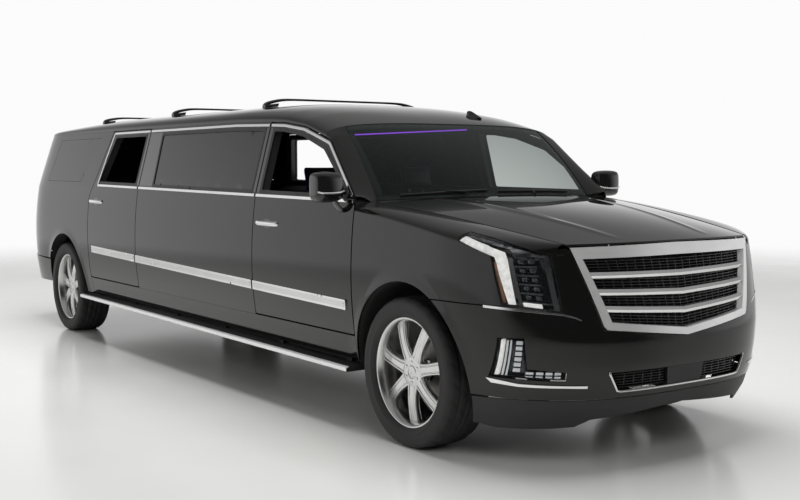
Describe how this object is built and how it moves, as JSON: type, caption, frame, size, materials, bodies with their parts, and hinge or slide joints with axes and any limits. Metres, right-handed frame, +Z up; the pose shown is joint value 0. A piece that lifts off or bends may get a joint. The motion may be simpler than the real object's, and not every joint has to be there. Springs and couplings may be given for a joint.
{
  "type": "stretch limousine",
  "caption": "Long black stretch limousine on a sport-utility body, with hinged doors, hood and tailgate, steered front wheels and a furnished cabin.",
  "frame": {"origin": "on the ground, midway between the nose and the tail, on the car's centre plane", "axes": "+X forward, +Y to the car's left, +Z up"},
  "size_m": [7.7803, 2.3906, 1.9844],
  "materials": {
    "body_paint": "gloss black paint",
    "chrome": "bright chrome",
    "grille_mesh": "gloss black",
    "lamp_lens": "clear lens over lamp units",
    "tail_lens": "red lens",
    "clear_glass": "lightly tinted glass",
    "dark_glass": "dark tinted glass",
    "black_plastic": "textured black",
    "leather": "grained black leather",
    "frame_steel": "satin black chassis paint",
    "cast_metal": "cast metal",
    "exhaust_steel": "heat-dulled steel",
    "tyre_rubber": "matt rubber",
    "wheel_alloy": "bright machined alloy"
  },
  "bodies": {
    "root": {"chassis_rails": "frame_steel", "crossmembers": "frame_steel", "floor_pan": "frame_steel", "engine_block": "cast_metal", "fuel_tank": "frame_steel", "exhaust": "exhaust_steel", "driveshaft": "frame_steel", "rear_axle": "frame_steel", "front_suspension": "frame_steel", "body_sides": "body_paint", "roof": "body_paint", "front_fenders": "body_paint", "front_bumper": "body_paint", "air_dam": "black_plastic", "grille": "chrome", "lower_grille": "grille_mesh", "headlights": "lamp_lens", "fog_lamps": "lamp_lens", "windscreen": "clear_glass", "stretch_panels": "body_paint", "quarter_panels": "body_paint", "side_glass": "dark_glass", "running_boards": "black_plastic", "rear_bumper": "body_paint", "tail_lamps": "tail_lens", "dashboard": "black_plastic", "front_seats": "leather", "lounge_seats": "leather", "roof_bars": "body_paint", "antenna": "body_paint"},
    "hood": {"hood": "body_paint"},
    "tailgate": {"tailgate": "body_paint", "tailgate_glass": "dark_glass"},
    "front_door_left": {"front_door_left": "body_paint", "mirror_left": "body_paint"},
    "front_door_right": {"front_door_right": "body_paint", "mirror_right": "body_paint"},
    "rear_door_left": {"rear_door_left": "body_paint"},
    "rear_door_right": {"rear_door_right": "body_paint"},
    "steering_wheel": {"steering_wheel": "black_plastic"},
    "knuckle_left": {"knuckle_left": "frame_steel"},
    "knuckle_right": {"knuckle_right": "frame_steel"},
    "wheel_front_left": {"tyre_front_left": "tyre_rubber", "wheel_front_left": "wheel_alloy"},
    "wheel_front_right": {"tyre_front_right": "tyre_rubber", "wheel_front_right": "wheel_alloy"},
    "wheel_rear_left": {"tyre_rear_left": "tyre_rubber", "wheel_rear_left": "wheel_alloy"},
    "wheel_rear_right": {"tyre_rear_right": "tyre_rubber", "wheel_rear_right": "wheel_alloy"}
  },
  "joints": [
    {"name": "hood_hinge", "type": "hinge", "parent": "root", "child": "hood", "pos_m": [2.385, 0, 1.276], "axis": [0, -1, 0], "range_deg": [0, 50]},
    {"name": "tailgate_hinge", "type": "hinge", "parent": "root", "child": "tailgate", "pos_m": [-3.58, 0, 1.83201], "axis": [0, 1, 0], "range_deg": [0, 80]},
    {"name": "front_door_left_hinge", "type": "hinge", "parent": "root", "child": "front_door_left", "pos_m": [2.289, 0.988, 0.9], "axis": [0, 0, -1], "range_deg": [0, 62]},
    {"name": "rear_door_left_hinge", "type": "hinge", "parent": "root", "child": "rear_door_left", "pos_m": [-0.886, 0.988, 0.9], "axis": [0, 0, -1], "range_deg": [0, 62]},
    {"name": "front_door_right_hinge", "type": "hinge", "parent": "root", "child": "front_door_right", "pos_m": [2.289, -0.988, 0.9], "axis": [0, 0, 1], "range_deg": [0, 62]},
    {"name": "rear_door_right_hinge", "type": "hinge", "parent": "root", "child": "rear_door_right", "pos_m": [-0.886, -0.988, 0.9], "axis": [0, 0, 1], "range_deg": [0, 62]},
    {"name": "steer_left", "type": "hinge", "parent": "root", "child": "knuckle_left", "pos_m": [2.84, 0.77, 0.4016], "axis": [0, 0, 1], "range_deg": [-32, 32]},
    {"name": "steer_right", "type": "hinge", "parent": "root", "child": "knuckle_right", "pos_m": [2.84, -0.77, 0.4016], "axis": [0, 0, 1], "range_deg": [-32, 32]},
    {"name": "steering_wheel_turn", "type": "hinge", "parent": "root", "child": "steering_wheel", "pos_m": [1.84, 0.4, 1.12], "axis": [0.9135, 0, -0.4067], "range_deg": [-490, 490]},
    {"name": "wheel_front_left_spin", "type": "hinge", "parent": "knuckle_left", "child": "wheel_front_left", "pos_m": [2.84, 0.872, 0.4016], "axis": [0, 1, 0], "continuous": true},
    {"name": "wheel_rear_left_spin", "type": "hinge", "parent": "root", "child": "wheel_rear_left", "pos_m": [-2.54, 0.872, 0.4016], "axis": [0, 1, 0], "continuous": true},
    {"name": "wheel_front_right_spin", "type": "hinge", "parent": "knuckle_right", "child": "wheel_front_right", "pos_m": [2.84, -0.872, 0.4016], "axis": [0, 1, 0], "continuous": true},
    {"name": "wheel_rear_right_spin", "type": "hinge", "parent": "root", "child": "wheel_rear_right", "pos_m": [-2.54, -0.872, 0.4016], "axis": [0, 1, 0], "continuous": true}
  ],
  "couplings": [
    {"joint": "steer_right", "follows": "steer_left", "ratio": 1},
    {"joint": "steering_wheel_turn", "follows": "steer_left", "ratio": -15}
  ]
}
